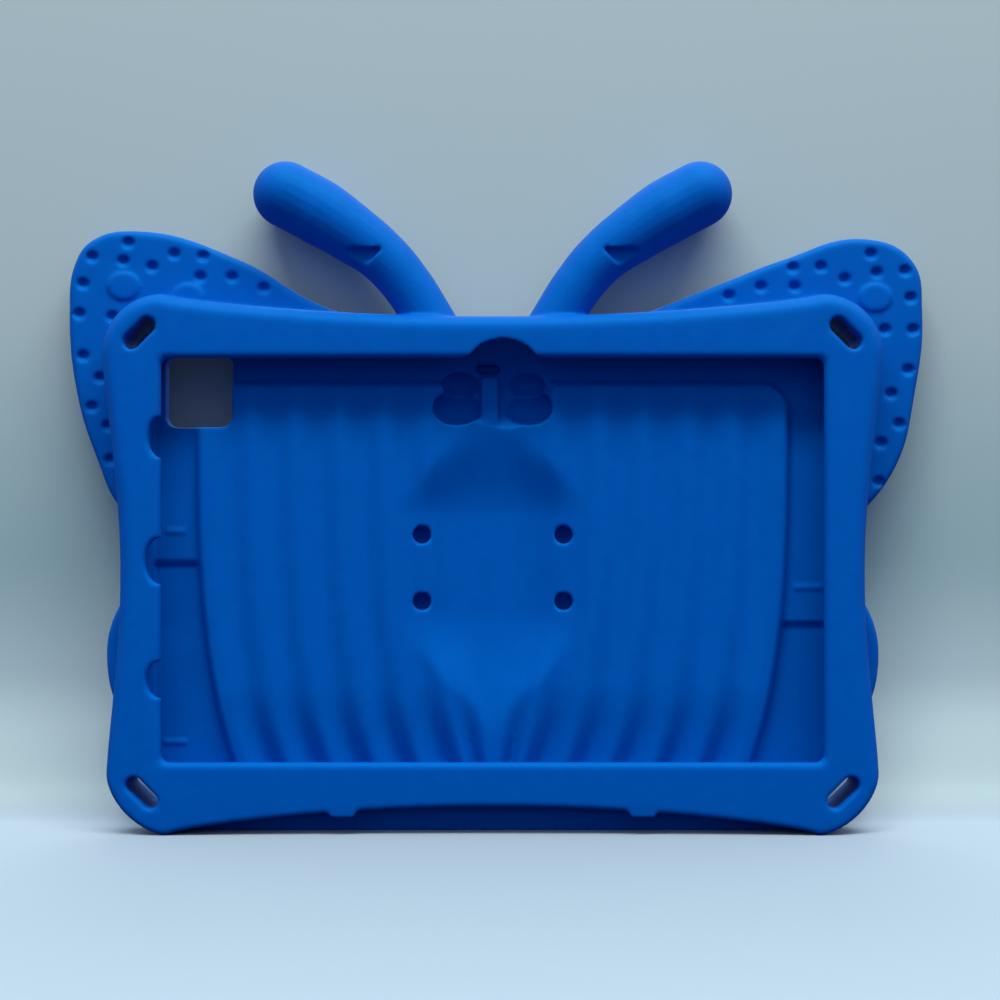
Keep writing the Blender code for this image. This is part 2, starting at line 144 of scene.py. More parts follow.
def roundBlock(name, size, corner, centre, turn=0.0, segments=8):
    # A block whose four edges along the depth are rounded, then turned about the depth
    deselectAll()
    bpy.ops.mesh.primitive_cube_add(size=1, scale=size)
    block = settle(named(name))
    editWith(block, "EDGE", lambda start, end: abs(start.y - end.y) > 0.5 * size[1])
    bpy.ops.mesh.bevel(offset=corner, segments=segments, affect="EDGES")
    leaveEdit()
    block.rotation_euler.y = turn
    block.location = centre
    return settle(block)


def roundPin(name, radius, depth, centre, sides=28):
    deselectAll()
    quarter = math.radians(90)
    bpy.ops.mesh.primitive_cylinder_add(
        vertices=sides, radius=radius, depth=depth, location=centre, rotation=(quarter, 0, 0)
    )
    return settle(named(name))


def ball(name, centre, radii, segments=42, rings=25):
    deselectAll()
    bpy.ops.mesh.primitive_uv_sphere_add(
        segments=segments, ring_count=rings, radius=1, location=centre, scale=radii
    )
    return settle(named(name))


def flareFront(tool, y, rounding, steps=4, overshoot=0.004):
    # Widens a cutter towards the front so that the edge it leaves is rounded
    spans = [[vert.co[axis] for vert in tool.data.vertices] for axis in (0, 2)]
    middle = [0.5 * (min(span) + max(span)) for span in spans]
    size = [max(span) - min(span) for span in spans]
    front = min(vert.co.y for vert in tool.data.vertices)
    editWith(tool, "VERT", lambda co: co.y < front + hair)
    bpy.ops.transform.translate(value=(0, y + rounding - front, 0))
    leaveEdit()
    grown = 0.0
    editWith(tool, "FACE", lambda centre, normal: normal.y < -facing)
    for step in range(1, steps + 1):
        last, angle = (math.radians(90 * turn / steps) for turn in (step - 1, step))
        grow = rounding * (1 - math.cos(angle))
        ahead = rounding * (math.sin(angle) - math.sin(last))
        ratio = [(length + 2 * grow) / (length + 2 * grown) for length in size]
        bpy.ops.mesh.extrude_region_move(TRANSFORM_OT_translate={"value": (0, -ahead, 0)})
        bpy.ops.transform.resize(
            value=(ratio[0], 1, ratio[1]), center_override=(middle[0], 0, middle[1])
        )
        grown = grow
    bpy.ops.mesh.extrude_region_move(TRANSFORM_OT_translate={"value": (0, -overshoot, 0)})
    leaveEdit()
    return tool


# Bumper: a ring of foam with four bulged corners and pinched sides

bumper = {
    "front": -0.013, "bend": -0.002, "back": 0.0085,
    "cornerRadius": 0.0211, "topX": 0.1155, "topZ": 0.1676, "bottomX": 0.1137,
    "sideSag": 0.0055, "sideSharpness": 1.3, "topSag": 0.0078, "bottomSag": 0.0098,
    "frontRounding": 0.0052, "backRounding": 0.0028, "roundSteps": 6,
    "lowShare": 0.35, "lowEnd": (0.008, 0.036),  # the front edge is sharper along the bottom
    "cove": ((-0.0072, 1.0), (-0.0036, 0.75)),  # depth, and share of the bottom's sag
    "topPower": 0.75, "bottomPower": 0.72, "lowCornerPower": 1.2,
    "edgeSteps": 30, "cornerSteps": 14, "sideSteps": 26,
}


def bumperOutline(bottomSag):
    # Right half from the top middle down to the bottom middle, then its mirror image
    radius = bumper["cornerRadius"]
    topX, topZ, bottomX = bumper["topX"], bumper["topZ"], bumper["bottomX"]
    half = []
    for step in range(bumper["edgeSteps"]):
        x = topX * step / bumper["edgeSteps"]
        sag = bumper["topSag"] * math.cos(0.5 * math.pi * x / topX) ** bumper["topPower"]
        half.append((x, topZ + radius - sag))
    for step in range(bumper["cornerSteps"]):
        angle = math.radians(90 - 90 * step / bumper["cornerSteps"])
        half.append((topX + radius * math.cos(angle), topZ + radius * math.sin(angle)))
    for step in range(bumper["sideSteps"]):
        share = step / bumper["sideSteps"]
        x = topX + (bottomX - topX) * share + radius
        pinch = bumper["sideSag"] * math.sin(math.pi * share) ** bumper["sideSharpness"]
        half.append((x - pinch, topZ + (radius - topZ) * share))
    for step in range(bumper["cornerSteps"]):
        angle = math.radians(-90 * step / bumper["cornerSteps"])
        across = math.cos(angle) ** bumper["lowCornerPower"]
        down = (-math.sin(angle)) ** bumper["lowCornerPower"]
        half.append((bottomX + radius * across, radius - radius * down))
    for step in range(bumper["edgeSteps"] + 1):
        x = bottomX * (1 - step / bumper["edgeSteps"])
        rise = max(0.0, math.cos(0.5 * math.pi * x / bottomX)) ** bumper["bottomPower"]
        half.append((x, bottomSag * rise))
    return half + [(-x, z) for x, z in reversed(half[1:-1])]


def outlineRing(name, points, y):
    deselectAll()
    bpy.ops.mesh.primitive_circle_add(vertices=len(points), radius=0.1)
    ring = settle(named(name))
    for vert, (x, z) in zip(ring.data.vertices, points):
        vert.co = (x, y, z)
    return ring


def levelAt(start, end, y):
    return abs(start.y - y) + abs(end.y - y) < hair


def makeBumper():
    front, back, sag = bumper["front"], bumper["back"], bumper["bottomSag"]
    levels = [(front, 1.0), *bumper["cove"], (bumper["bend"], 0.0), (back, 0.0)]
    shell = joined([outlineRing("outline", bumperOutline(share * sag), y) for y, share in levels])
    shell.name = "foamShell"
    editWith(shell, "EDGE", lambda start, end: True)
    bpy.ops.mesh.bridge_edge_loops()
    leaveEdit()
    for y in (front, back):
        editWith(shell, "EDGE", lambda start, end: levelAt(start, end, y))
        bpy.ops.mesh.edge_face_add()
        leaveEdit()
    editWith(shell, "EDGE", lambda start, end: levelAt(start, end, back))
    bpy.ops.mesh.bevel(
        offset=bumper["backRounding"], segments=bumper["roundSteps"], affect="EDGES",
        clamp_overlap=False,
    )
    leaveEdit()
    # The front edge is well rounded above and at the sides, and much less along the bottom
    weights = shell.data.attributes.new("bevel_weight_edge", "FLOAT", "EDGE")
    low, high = bumper["lowEnd"]
    for edge in shell.data.edges:
        start, end = (shell.data.vertices[index].co for index in edge.vertices)
        if levelAt(start, end, front):
            rise = smoothStep((0.5 * (start.z + end.z) - low) / (high - low))
            weights.data[edge.index].value = bumper["lowShare"] + (1 - bumper["lowShare"]) * rise
    useModifier(
        shell, "BEVEL", width=bumper["frontRounding"], segments=bumper["roundSteps"],
        limit_method="WEIGHT", use_clamp_overlap=False,
    )
    return squareUp(shell)


foot = {
    "x": 0.0523, "halfBase": 0.0072, "halfFlat": 0.0040, "low": 0.0062, "top": 0.0122,
    "front": -0.0129, "depth": 0.009,
}


def makeFoot(side):
    # A block whose lower face is drawn in, like the trapezoid nubs under the lip
    deselectAll()
    height = foot["top"] - foot["low"]
    y, z = foot["front"] + 0.5 * foot["depth"], foot["low"] + 0.5 * height
    bpy.ops.mesh.primitive_cube_add(
        size=1,
        location=(side * foot["x"], y, z),
        scale=(2 * foot["halfBase"], foot["depth"], height),
    )
    nub = settle(named("foot"))
    editWith(nub, "FACE", lambda centre, normal: normal.z < -facing)
    ratio = foot["halfFlat"] / foot["halfBase"]
    bpy.ops.transform.resize(value=(ratio, 1, 1), center_override=(side * foot["x"], 0, 0))
    leaveEdit()
    return nub


# Wings: two flat outlines with rounded edges

wing = {
    "front": 0.003, "back": 0.0105, "rounding": 0.0026, "setBack": 0.0006,
    "curveSteps": 10, "roundSteps": 4,
    "upper": (
        (0.0000, 0.1640), (0.0300, 0.1735), (0.0614, 0.1861), (0.0842, 0.1950), (0.1027, 0.2021),
        (0.1338, 0.2099), (0.1500, 0.2021), (0.1536, 0.1843), (0.1505, 0.1522), (0.1452, 0.1309),
        (0.1338, 0.1141), (0.1180, 0.1010), (0.0900, 0.0960), (-0.0900, 0.0960), (-0.1180, 0.1010),
        (-0.1338, 0.1146), (-0.1413, 0.1309), (-0.1481, 0.1522), (-0.1513, 0.1843), (-0.1492, 0.2014),
        (-0.1435, 0.2092), (-0.1278, 0.2128), (-0.0897, 0.2021), (-0.0633, 0.1872), (-0.0300, 0.1755),
    ),
    "lower": (
        (0.0000, 0.1020), (0.0900, 0.0980), (0.1200, 0.0930), (0.1330, 0.0800), (0.1380, 0.0574),
        (0.1300, 0.0360), (0.1100, 0.0210), (0.0820, 0.0140), (0.0500, 0.0190), (0.0000, 0.0420),
        (-0.0500, 0.0190), (-0.0820, 0.0140), (-0.1100, 0.0210), (-0.1300, 0.0360), (-0.1380, 0.0574),
        (-0.1330, 0.0800), (-0.1200, 0.0930), (-0.0900, 0.0980),
    ),
}


def makeWing(name, points, front, back):
    # A filled curve through the outline's points, given its thickness and round edges
    deselectAll()
    bpy.ops.curve.primitive_bezier_circle_add(radius=0.1)
    curve = bpy.context.object
    curve.data.dimensions = "2D"
    spline = curve.data.splines[0]
    spline.bezier_points.add(len(points) - len(spline.bezier_points))
    for point, (x, z) in zip(spline.bezier_points, points):
        point.handle_left_type = "AUTO"
        point.handle_right_type = "AUTO"
        point.co = (x, z, 0)
    curve.data.resolution_u = wing["curveSteps"]
    curve.data.fill_mode = "BOTH"
    curve.data.bevel_depth = wing["rounding"]
    curve.data.bevel_resolution = wing["roundSteps"]
    curve.data.offset = -wing["rounding"]
    curve.data.extrude = 0.5 * (back - front) - wing["rounding"]
    curve.rotation_euler.x = math.radians(90)
    curve.location.y = 0.5 * (front + back)
    bpy.ops.object.convert(target="MESH")
    return squareUp(settle(named(name)))


# Dimples and raised discs on the front of the wings

dots = {
    "places": (
        (-0.1299, 0.2082), (-0.1428, 0.2032), (-0.1317, 0.2017), (-0.1214, 0.1996), (-0.1135, 0.2042),
        (-0.1032, 0.2035), (-0.1043, 0.1960), (-0.0929, 0.1960), (-0.0815, 0.1921), (-0.1460, 0.1936),
        (-0.1474, 0.1829), (-0.1356, 0.1818), (-0.1460, 0.1679), (-0.1399, 0.1601), (-0.1428, 0.1497),
        (-0.1371, 0.1430), (-0.1363, 0.1309), (0.1348, 0.2042), (0.1470, 0.1982), (0.1369, 0.1975),
        (0.1255, 0.1953), (0.1170, 0.1996), (0.1070, 0.1993), (0.1077, 0.1925), (0.0956, 0.1925),
        (0.0842, 0.1893), (0.1490, 0.1886), (0.1498, 0.1772), (0.1398, 0.1772), (0.1481, 0.1629),
        (0.1420, 0.1544), (0.1448, 0.1437), (0.1383, 0.1369), (0.1376, 0.1230),
    ),
    "radii": (0.0024, 0.0022, 0.0021), "ahead": 0.0002,
    "discs": ((-0.1314, 0.1928), (-0.1086, 0.1886), (0.1362, 0.1886)),
    "discRadius": 0.0055, "discSquash": 0.84, "discHeight": 0.0009, "discDepth": 0.006,
}


def makeDimples():
    first = ball("dimple", (0, 0, 0), dots["radii"], segments=22, rings=13)
    cups = []
    for x, z in dots["places"]:
        cup = copied(first, "dimpleCut")
        cup.location = (x, wing["front"] - dots["ahead"], z)
        cups.append(settle(cup))
    bpy.data.objects.remove(first, do_unlink=True)
    return joined(cups)


def makeDiscs():
    discs = []
    y = wing["front"] - dots["discHeight"] + 0.5 * dots["discDepth"]
    for x, z in dots["discs"]:
        disc = roundPin("disc", dots["discRadius"], dots["discDepth"], (0, 0, 0), sides=36)
        disc.scale.z = dots["discSquash"]
        disc.location = (x, y, z)
        discs.append(settle(disc))
    return discs


# Antennae: thick stalks that swell into clubs

antenna = {
    "y": 0.0011,
    # across, up and radius, from the club's tip to the root
    "route": (
        (-0.0734, 0.2251, 0.0117), (-0.0613, 0.2186, 0.0117), (-0.0500, 0.2112, 0.0106),
        (-0.0398, 0.2036, 0.0095), (-0.0313, 0.1942, 0.0090), (-0.0242, 0.1834, 0.0089),
        (-0.0180, 0.1720, 0.0090), (-0.0130, 0.1600, 0.0086),
    ),
    "tipShare": 0.992, "curveSteps": 6, "roundSteps": 10,
    "notch": (0.0382, 0.0512, 0.1950, 0.2052), "notchBack": -0.0056, "notchDepth": 0.02,
}


def makeNotch(side):
    # A cut with a level ceiling, open below, whose inner side slants down and outwards
    inner, outer, bottom, top = antenna["notch"]
    depth = antenna["notchDepth"]
    y = antenna["notchBack"] - 0.5 * depth
    deselectAll()
    bpy.ops.mesh.primitive_cube_add(
        size=1,
        location=(side * 0.5 * (inner + outer), y, 0.5 * (bottom + top)),
        scale=(outer - inner, depth, top - bottom),
    )
    notch = settle(named("notch"))
    editWith(notch, "VERT", lambda co: co.z < bottom + hair and abs(co.x) < inner + hair)
    bpy.ops.transform.translate(value=(side * (top - bottom), 0, 0))
    leaveEdit()
    return squareUp(notch)


def makeAntenna(side):
    # A tube along the route, closed by a ball at its tip and notched below
    route = antenna["route"]
    deselectAll()
    bpy.ops.curve.primitive_nurbs_path_add(radius=0.1)
    curve = bpy.context.object
    curve.data.splines.clear()
    spline = curve.data.splines.new("BEZIER")
    spline.bezier_points.add(len(route) - 1)
    for point, (x, z, radius) in zip(spline.bezier_points, route):
        point.handle_left_type = "AUTO"
        point.handle_right_type = "AUTO"
        point.co = (-side * x, antenna["y"], z)
        point.radius = radius
    curve.data.bevel_depth = 1.0  # the radius comes from the route's points
    curve.data.bevel_resolution = antenna["roundSteps"]
    curve.data.resolution_u = antenna["curveSteps"]
    curve.data.use_fill_caps = True
    bpy.ops.object.convert(target="MESH")
    stalk = squareUp(settle(named("antenna")))
    tipX, tipZ, tipRadius = route[0]
    tipRadius *= antenna["tipShare"]
    club = ball("clubEnd", (-side * tipX, antenna["y"], tipZ), (tipRadius,) * 3)
    combine(stalk, club, "UNION")
    combine(stalk, makeNotch(side), "DIFFERENCE")
    return stalk


# Body and head of the butterfly, swelling out of the back

backBody = {
    "body": ((0, 0.0045, 0.0985), (0.0175, 0.0085, 0.0560)),
    "head": ((0, 0.003, 0.1540), (0.0265, 0.0100, 0.0235)),
}


# Pocket: the tablet's space, whose far side carries the relief of the floor

pocket = {
    "front": -0.010, "halfWidth": 0.121, "bottom": 0.0183, "top": 0.1718, "corner": 0.009,
    "padY": -0.0002, "channelDrop": 0.0028, "padHalf": 0.105, "padTop": 0.158,
    "padCorner": 0.010, "padEdge": 0.003,
    "narrowing": 0.0145, "narrowingPower": 3.5,  # how the pad draws in towards the bottom
    "ribFirst": 0.0225, "ribPitch": 0.0156, "ribCount": 6, "ribHeight": 0.0015,
    "ledgeLeft": 0.0950, "ledgeRight": 0.0732, "ledgeDrop": 0.0015, "ledgeSlope": 0.0015,
    "kiteHalf": 0.035, "kiteDepth": 0.0058, "kiteRise": (0.028, 0.078), "kiteFall": (0.110, 0.148),
    "kiteTip": 0.002, "kiteNeck": 0.0105, "neckDepth": 0.05, "kiteEdge": 0.72, "leastEdge": 0.002,
    "kiteStop": 0.006, "kiteStopReach": 0.004,  # the kite ends this far below the pad's top
    # the valleys between the ribs deepen towards the bottom, except at the middle
    "sinkTop": 0.052, "sinkReach": 0.034, "crestSink": 0.0016, "valleySink": 0.0042,
    "levelMiddle": 0.3, "gridStep": 0.0013, "margin": 0.006, "wallDepth": 0.03, "cornerSteps": 10,
    "lift": 0.005,  # how far the floor's copy is drawn out before it is flattened in front
}


def narrowingAt(z):
    share = min(1.0, max(0.0, (pocket["padTop"] - z) / (pocket["padTop"] - pocket["bottom"])))
    return pocket["narrowing"] * share ** pocket["narrowingPower"]


def columnX(u, z):
    # A rib's place across the floor, from its place at the top of the pad
    size = abs(u)
    if size <= pocket["padHalf"]:
        pull = min(1.0, size / pocket["ribFirst"])
    else:
        pull = max(0.0, (pocket["halfWidth"] - size) / (pocket["halfWidth"] - pocket["padHalf"]))
    return u - math.copysign(narrowingAt(z) * pull, u)


def kiteDip(x, z):
    # How far the kite sinks at a place, and how much of its full width that is
    low, high = pocket["kiteRise"]
    opening = smoothStep((z - low) / (high - low))
    low, high = pocket["kiteFall"]
    closing = smoothStep((z - low) / (high - low))
    half = pocket["kiteTip"] + (pocket["kiteHalf"] - pocket["kiteTip"]) * opening
    half -= (pocket["kiteHalf"] - pocket["kiteNeck"]) * closing
    inner = smoothStep((half - abs(x)) / (pocket["kiteEdge"] * half + pocket["leastEdge"]))
    depth = pocket["kiteDepth"] * opening * (1 - (1 - pocket["neckDepth"]) * closing)
    over = z - pocket["padTop"] + pocket["kiteStop"]
    if over > 0:
        inner *= 1 - smoothStep(over / pocket["kiteStopReach"])
    return depth * inner, inner


def floorDepth(u, x, z):
    # The floor's depth at a place, where u is its rib's place at the top of the pad
    size = abs(u)
    overX = max(0.0, size - (pocket["padHalf"] - pocket["padCorner"]))
    overZ = max(0.0, z - (pocket["padTop"] - pocket["padCorner"]))
    pad = smoothStep(0.5 + (pocket["padCorner"] - math.hypot(overX, overZ)) / pocket["padEdge"])
    firstValley = pocket["ribFirst"] - 0.5 * pocket["ribPitch"]
    lastCrest = pocket["ribFirst"] + (pocket["ribCount"] - 1) * pocket["ribPitch"]
    if size < firstValley:
        crest = 0.0
    elif size > lastCrest:
        crest = 1.0
    else:
        crest = 0.5 + 0.5 * math.cos(2 * math.pi * (size - pocket["ribFirst"]) / pocket["ribPitch"])
    dip, flat = kiteDip(x, z)
    sink = smoothStep((pocket["sinkTop"] - z) / pocket["sinkReach"])
    sinkDepth = pocket["crestSink"] * crest + pocket["valleySink"] * (1 - crest)
    if size < firstValley:
        level = pocket["levelMiddle"]
        sinkDepth *= smoothStep((size - level * firstValley) / ((1 - level) * firstValley))
    ledgeZ = pocket["ledgeLeft"] if u < 0 else pocket["ledgeRight"]
    step = pocket["ledgeDrop"] * (1 - pad) * smoothStep((ledgeZ - z) / pocket["ledgeSlope"])
    channelY = pocket["padY"] + pocket["channelDrop"]
    rib = pocket["ribHeight"] * crest * (1 - flat)
    padY = pocket["padY"] - rib + dip + sinkDepth * sink * (1 - flat)
    return channelY + (padY - channelY) * pad + step


def makePocket():
    # A fine grid shaped as the floor, closed in front of the lip and trimmed to the walls
    width = 2 * pocket["halfWidth"] + pocket["margin"]
    height = pocket["top"] - pocket["bottom"] + pocket["margin"]
    middle = 0.5 * (pocket["top"] + pocket["bottom"])
    deselectAll()
    bpy.ops.mesh.primitive_grid_add(
        x_subdivisions=round(width / pocket["gridStep"]),
        y_subdivisions=round(height / pocket["gridStep"]), size=1,
    )
    core = settle(named("pocketCore"))
    for vert in core.data.vertices:
        u = width * vert.co.x
        z = middle + height * vert.co.y
        x = columnX(u, z)
        vert.co = (x, floorDepth(u, x, z), z)
    editWith(core, "FACE", lambda centre, normal: True)
    bpy.ops.mesh.extrude_region_move(TRANSFORM_OT_translate={"value": (0, -pocket["lift"], 0)})
    bpy.ops.transform.resize(value=(1, 0, 1), center_override=(0, pocket["front"], 0))
    bpy.ops.mesh.select_all(action="SELECT")
    bpy.ops.mesh.quads_convert_to_tris()
    bpy.ops.mesh.normals_make_consistent(inside=False)
    leaveEdit()
    size = (2 * pocket["halfWidth"], pocket["wallDepth"], pocket["top"] - pocket["bottom"])
    walls = roundBlock(
        "pocketWalls", size, pocket["corner"], (0, 0, middle), segments=pocket["cornerSteps"]
    )
    combine(core, walls, "INTERSECT")
    return core


# Opening, scalloped notches, ports, slots, window and holes

cuts = {
    "startY": -0.011, "startDepth": 0.003,  # a cutter's first block, before its front is flared
    "proud": 0.00006,  # the flared cutters end at slightly different depths, so none share a plane
    "opening": (-0.1153, 0.1153, 0.0254, 0.1658), "openingCorner": 0.003, "openingRounding": 0.0024,
    # height, length and reach of each scallop in the left lip
    "scallops": ((0.1384, 0.0142, 0.0044), (0.0954, 0.0162, 0.0055), (0.0541, 0.0128, 0.0050)),
    "scallopRounding": 0.0016, "scallopProud": 2.3,
    "ports": ((0.1372, 0.0108), (0.0954, 0.016), (0.054, 0.0115)),  # height and length
    "portDepth": 0.006, "portLength": 0.024, "portX": -0.131, "portY": -0.0051, "portRound": 0.999,
    "slot": (0.0135, 0.0057), "slotDepth": 0.03, "slotRound": 0.499,
    "slotRounding": 0.0008, "slotProud": 1.6,
    "slots": (  # across, up and lean in degrees
        (-0.1228, 0.1746, -45), (0.1228, 0.1746, 45), (-0.1219, 0.0148, 45), (0.1219, 0.0148, -45),
    ),
    "window": (-0.1165, -0.0924, 0.1424, 0.168), "windowCorner": 0.004,
    "windowY": 0.005, "windowDepth": 0.024,
    "holes": ((-0.0252, 0.1042), (0.0252, 0.1042), (-0.0252, 0.0805), (0.0252, 0.0805)),
    "holeRadius": 0.0032, "holeDepth": 0.02, "holeY": -0.0026,
}


def makeOpening():
    left, right, bottom, top = cuts["opening"]
    centre = (0.5 * (left + right), cuts["startY"], 0.5 * (bottom + top))
    size = (right - left, cuts["startDepth"], top - bottom)
    block = roundBlock("opening", size, cuts["openingCorner"], centre)
    return flareFront(block, bumper["front"] - cuts["proud"], cuts["openingRounding"])


def makeScallop(z, length, reach):
    pin = roundPin("scallop", 0.5 * length, cuts["startDepth"], (0, 0, 0))
    pin.scale.x = 2 * reach / length
    pin.location = (cuts["opening"][0], cuts["startY"], z)
    y = bumper["front"] - cuts["scallopProud"] * cuts["proud"]
    return flareFront(settle(pin), y, cuts["scallopRounding"])


def makePort(z, length):
    # A stadium slot through the left wall
    radius = 0.5 * cuts["portDepth"]
    size = (length, cuts["portLength"], cuts["portDepth"])
    port = roundBlock("port", size, radius * cuts["portRound"], (0, 0, 0))
    port.rotation_euler = (0, math.radians(90), 0)
    settle(port)
    port.rotation_euler = (0, 0, math.radians(90))
    port.location = (cuts["portX"], cuts["portY"], z)
    return settle(port)


def makeSlot(x, z, lean):
    length, width = cuts["slot"]
    size = (length, cuts["slotDepth"], width)
    slot = roundBlock("slot", size, cuts["slotRound"] * width, (0, 0, 0))
    slot.location = (0, 0.5 * cuts["slotDepth"] + bumper["front"], 0)
    y = bumper["front"] - cuts["slotProud"] * cuts["proud"]
    slot = flareFront(settle(slot), y, cuts["slotRounding"])
    slot.rotation_euler.y = math.radians(lean)
    slot.location = (x, 0, z)
    return settle(slot)


def makeWindow():
    left, right, bottom, top = cuts["window"]
    centre = (0.5 * (left + right), cuts["windowY"], 0.5 * (bottom + top))
    size = (right - left, cuts["windowDepth"], top - bottom)
    return roundBlock("window", size, cuts["windowCorner"], centre)


def makeHoles():
    radius, depth, y = cuts["holeRadius"], cuts["holeDepth"], cuts["holeY"]
    return joined([roundPin("hole", radius, depth, (x, y, z)) for x, z in cuts["holes"]])


# Head hollow in the floor: a round scoop, two eye bowls and two deep root hollows

hollow = {
    "scoop": ((0.0036, -0.005, 0.1585), (0.0190, 0.0115, 0.0185)),
    "bowl": ((0.0128, 0.0018, 0.1492), (0.0094, 0.0065, 0.0062)),
    "root": ((0.0115, 0.0030, 0.1574), (0.0070, 0.0064, 0.0047)),
    "socket": (-0.0058, 0.0022, 0.1618, 0.1650), "socketY": 0.003, "socketDepth": 0.013,
    "socketCorner": 0.0008,
    "nose": (-0.0043, 0.0022, 0.1425, 0.1604), "noseFront": 0.0006, "noseDepth": 0.0085,
    "noseCorner": 0.0012, "noseRounding": 0.001,
}


def makeHollows():
    tools = [ball("scoop", *hollow["scoop"])]
    for name in ("bowl", "root"):
        (x, y, z), radii = hollow[name]
        tools += [ball(name, (side * x, y, z), radii) for side in (-1, 1)]
    left, right, bottom, top = hollow["socket"]
    centre = (0.5 * (left + right), hollow["socketY"], 0.5 * (bottom + top))
    size = (right - left, hollow["socketDepth"], top - bottom)
    tools.append(roundBlock("socket", size, hollow["socketCorner"], centre, segments=3))
    return tools


def makeNose():
    # A squared rib between the bowls
    left, right, bottom, top = hollow["nose"]
    front, depth = hollow["noseFront"], hollow["noseDepth"]
    centre = (0.5 * (left + right), front + 0.5 * depth, 0.5 * (bottom + top))
    size = (right - left, depth, top - bottom)
    nose = roundBlock("nose", size, hollow["noseCorner"], centre, segments=4)
    editWith(nose, "EDGE", lambda start, end: max(start.y, end.y) < front + hair)
    bpy.ops.mesh.bevel(
        offset=hollow["noseRounding"], segments=3, affect="EDGES", clamp_overlap=False
    )
    leaveEdit()
    return nose


# Thin raised marks on the floor

marks = {
    "height": 0.0006, "thickness": 0.0012, "depth": 0.004, "corner": 0.0004,
    "bars": (  # across, length and up
        (-0.0995, 0.0072, 0.1394), (-0.1128, 0.0062, 0.1054),
        (-0.1133, 0.0080, 0.0302), (0.1125, 0.0098, 0.0855),
    ),
}


def makeMarks():
    bars = []
    for x, length, z in marks["bars"]:
        y = pocket["padY"]
        if abs(x) >= pocket["padHalf"]:
            y += pocket["channelDrop"]
        if x < 0 and z < pocket["ledgeLeft"]:
            y += pocket["ledgeDrop"]
        centre = (x, y - marks["height"] + 0.5 * marks["depth"], z)
        size = (length, marks["depth"], marks["thickness"])
        bars.append(roundBlock("mark", size, marks["corner"], centre, segments=3))
    return bars


# The whole moulding

moulding = {"voxel": 0.00066, "softening": 4, "faces": 190000}


def makeMoulding():
    shell = makeBumper()
    print("bumper:", len(shell.data.polygons))
    added = [makeFoot(-1), makeFoot(1)]
    front, back, setBack = wing["front"], wing["back"], wing["setBack"]
    added.append(makeWing("upperWings", wing["upper"], front, back))
    added.append(makeWing("lowerWings", wing["lower"], front + setBack, back - setBack))
    added += [ball(name, *backBody[name]) for name in ("body", "head")]
    added += [makeAntenna(-1), makeAntenna(1)] + makeDiscs()
    for tool in added:
        combine(shell, tool, "UNION")
    print("joined up:", len(shell.data.polygons))
    combine(shell, makePocket(), "DIFFERENCE")
    for tool in makeHollows():
        combine(shell, tool, "DIFFERENCE")
    for tool in [makeNose()] + makeMarks():
        combine(shell, tool, "UNION")
    print("pocket cut:", len(shell.data.polygons))
    removed = [makeOpening()]
    removed += [makeScallop(*facts) for facts in cuts["scallops"]]
    removed += [makePort(z, length) for z, length in cuts["ports"]]
    removed.append(makeWindow())
    removed.append(joined([makeSlot(*facts) for facts in cuts["slots"]]))
    removed += [makeHoles(), makeDimples()]
    for tool in removed:
        combine(shell, tool, "DIFFERENCE")
    print("openings cut:", len(shell.data.polygons))
    useModifier(shell, "REMESH", mode="VOXEL", voxel_size=moulding["voxel"], adaptivity=0.0)
    useModifier(shell, "SMOOTH", factor=0.5, iterations=moulding["softening"])
    count = sum(len(face.vertices) - 2 for face in shell.data.polygons)  # triangles
    useModifier(shell, "DECIMATE", ratio=min(1.0, moulding["faces"] / count))
    makeActive(shell)
    bpy.ops.object.shade_smooth()
    shell.name = "foamMoulding"
    shell.data.name = "foamMoulding"
    print("remeshed:", count, "to", len(shell.data.polygons))
    return shell


# Foam material

foam = {
    "colour": (0.0, 0.101, 0.47, 1), "deep": (0.0, 0.094, 0.45, 1), "toneSpan": (0.35, 0.65),
    "specular": 0.3, "glossTint": (0.0, 1.0, 0.9, 1), "roughness": (0.54, 0.68),
    "swellScale": 160, "swellDetail": 3,  # the slow drift of tone
    "grainScale": 2600, "grainDetail": 2, "bumpDepth": 0.00006, "bumpStrength": 0.5,
}


def addNode(tree, kind, values):
    node = tree.nodes.new("ShaderNode" + kind)
    for socket, value in values.items():
        node.inputs[socket].default_value = value
    return node


def addMix(tree, values):
    # A blend of two colours
    mix = tree.nodes.new("ShaderNodeMix")
    mix.data_type = "RGBA"
    for socket, value in values.items():
        mix.inputs[socket].default_value = value
    return mix


